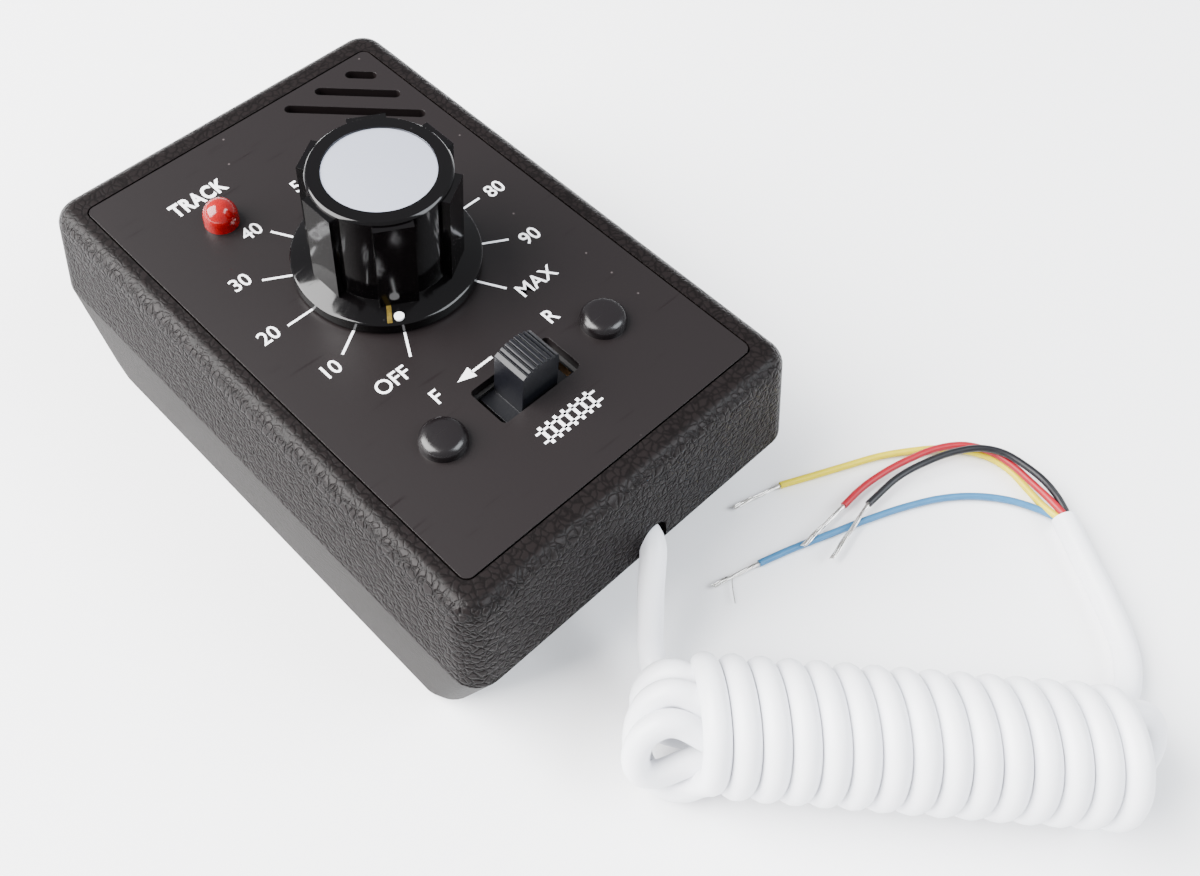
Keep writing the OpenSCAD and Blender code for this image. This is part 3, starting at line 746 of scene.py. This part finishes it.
# ---- Lamp ----
# A five millimetre red lamp in a diffusing resin, pushed up through the panel.
lamp_resin = shader(
    "lamp_resin", (0.30, 0.002, 0.003), 0.16, Subsurface_Weight=0.3,
    Subsurface_Radius=(0.002, 0.0003, 0.0003), Transmission_Weight=0.25, Coat_Weight=0.12,
    Coat_Roughness=0.08, Specular_IOR_Level=0.4,
)
mottled(lamp_resin, noise(lamp_resin, 900, 2), (0.24, 0.0015, 0.002), (0.36, 0.004, 0.005))
smoothed_copy("lamp_dome", "lamp_lens", 0, lamp_resin, "case", 50)

# ---- Inside ----
# Metal, board and component finishes for the parts below the panel, most of which show
# only through the slots or with the case open. Each keeps its CAD shape.
finishes = {
    "plated_steel": ((0.62, 0.60, 0.57), 0.32, 1.0, 1400, 0.10),
    "brass": ((0.78, 0.57, 0.25), 0.30, 1.0, 1400, 0.08),
    "sink_aluminium": ((0.72, 0.72, 0.73), 0.36, 1.0, 1100, 0.10),
    "tinned_copper": ((0.72, 0.70, 0.67), 0.28, 1.0, 2500, 0.12),
    "tag_board": ((0.22, 0.12, 0.05), 0.55, 0.0, 900, 0.15),
    "board_green": ((0.16, 0.20, 0.06), 0.5, 0.0, 800, 0.12),
    "component_black": ((0.02, 0.02, 0.02), 0.5, 0.0, 2000, 0.15),
    "capacitor_blue": ((0.03, 0.05, 0.22), 0.25, 0.0, 700, 0.08),
    "resistor_tan": ((0.5, 0.34, 0.2), 0.3, 0.0, 1300, 0.10),
    "tie_nylon": ((0.78, 0.76, 0.68), 0.45, 0.0, 1200, 0.12),
}
shown_here = {
    "plated_steel": [
        "control_bushing", "control_washer", "control_nut", "control_can", "board_screw_1",
        "board_screw_2", "case_screw_1", "case_screw_2", "case_screw_3", "case_screw_4",
    ],
    "brass": ["knob_collet", "knob_collet_nut"],
    "sink_aluminium": ["control_shaft", "heat_sink"],
    "tinned_copper": ["switch_tags", "lamp_lead_1", "lamp_lead_2"],
    "tag_board": ["control_tags", "switch_base"],
    "board_green": ["circuit_board"],
    # The switch frame is steel; the black finish given to it paints the shade inside its slot.
    "component_black": ["power_transistor", "bridge_rectifier", "switch_frame"],
    "capacitor_blue": ["smoothing_capacitor"],
    "resistor_tan": ["resistor_1", "resistor_2"],
    "tie_nylon": ["cable_tie"],
}
for finish, (color, roughness, metallic, scale, relief) in finishes.items():
    made = shader(f"{finish}_finish", color, roughness, Metallic=metallic)
    mottle = noise(made, scale, 4)
    mottled(made, mottle, [c * 0.8 for c in color], [min(1, c * 1.15) for c in color])
    glossed(made, mottle, roughness * 0.75, roughness * 1.25)
    bumped(made, mottle, relief, 0.00005)
    for node in shown_here[finish]:
        for material_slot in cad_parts[node].material_slots:
            material_slot.material = made

# ---- Table and light ----
# A pale seamless table, lit by two large soft lights and a bright even surround.
table_half = 3
table_top = -0.0002
table_data = bpy.data.meshes.new("table")
table_data.from_pydata(
    [(-table_half, -table_half, table_top), (table_half, -table_half, table_top),
     (table_half, table_half, table_top), (-table_half, table_half, table_top)],
    [], [(0, 1, 2, 3)],
)
table_data.materials.append(shader("table_white", (0.93, 0.93, 0.94), 0.8))
table = bpy.data.objects.new("table", table_data)
bpy.context.collection.objects.link(table)

for name, place, size, power, tone in (
    ("main_light", (-0.6, 0.45, 0.66), 1.0, 84, (1, 0.99, 0.98)),
    ("near_light", (0.44, -0.58, 0.69), 0.6, 15, (0.9, 0.95, 1)),
):
    lamp = bpy.data.lights.new(name, "AREA")
    lamp.size = size
    lamp.energy = power
    lamp.color = tone
    lamp_object = bpy.data.objects.new(name, lamp)
    lamp_object.location = place
    lamp_object.rotation_euler = (-Vector(place)).to_track_quat("-Z", "Y").to_euler()
    bpy.context.collection.objects.link(lamp_object)
surround = bpy.data.worlds.new("surround")
surround.use_nodes = True
surround.node_tree.nodes["Background"].inputs["Color"].default_value = (0.93, 0.95, 1, 1)
surround.node_tree.nodes["Background"].inputs["Strength"].default_value = 0.75
bpy.context.scene.world = surround
